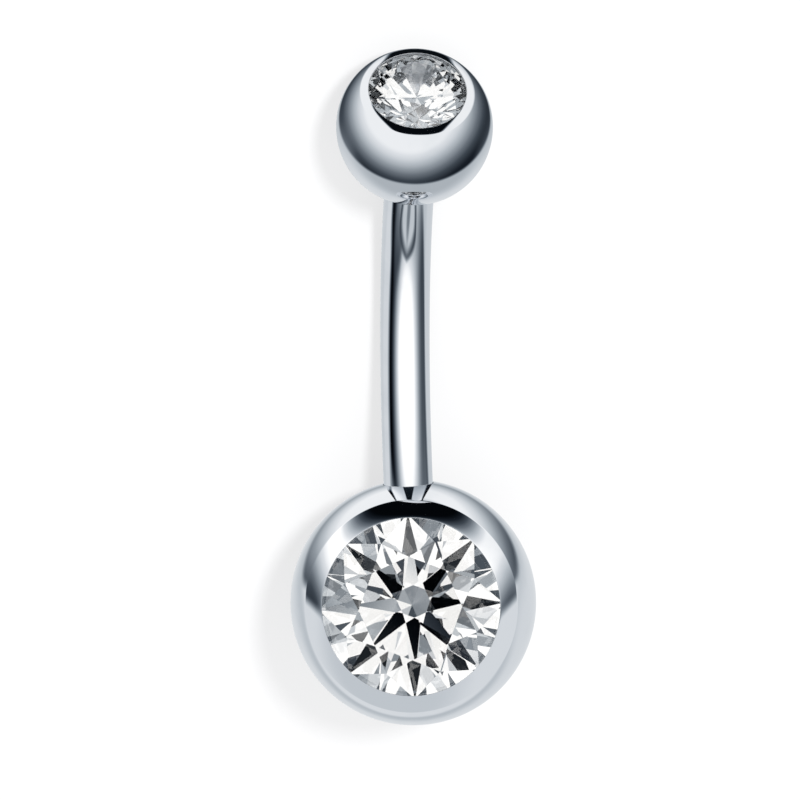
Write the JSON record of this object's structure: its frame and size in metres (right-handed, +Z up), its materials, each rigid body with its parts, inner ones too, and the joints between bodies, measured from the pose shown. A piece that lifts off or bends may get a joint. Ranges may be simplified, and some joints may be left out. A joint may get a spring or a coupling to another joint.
{
  "type": "navel ring",
  "caption": "Curved steel barbell navel ring with a large stone-set ball at one end and a small stone-set ball that screws on the other.",
  "frame": {"origin": "on the surface that the ring lies on, under the middle of its length over the two balls", "axes": "+Z up from the surface; +Y along the ring's length, from the small ball to the large ball; the stones face -Y and up"},
  "size_m": [0.008, 0.0235, 0.0075],
  "materials": {
    "bar_steel": "polished",
    "ball_steel": "polished",
    "stone": "gloss"
  },
  "bodies": {
    "barbell": {"curved_bar": "bar_steel", "lower_ball": "ball_steel", "lower_gem": "stone"},
    "top": {"top_ball": "ball_steel", "top_gem": "stone"}
  },
  "joints": [
    {"name": "unscrew", "type": "slide", "parent": "barbell", "child": "top", "axis": [-0.0394, -0.9436, 0.3286], "range_m": [0, 0.005]}
  ]
}
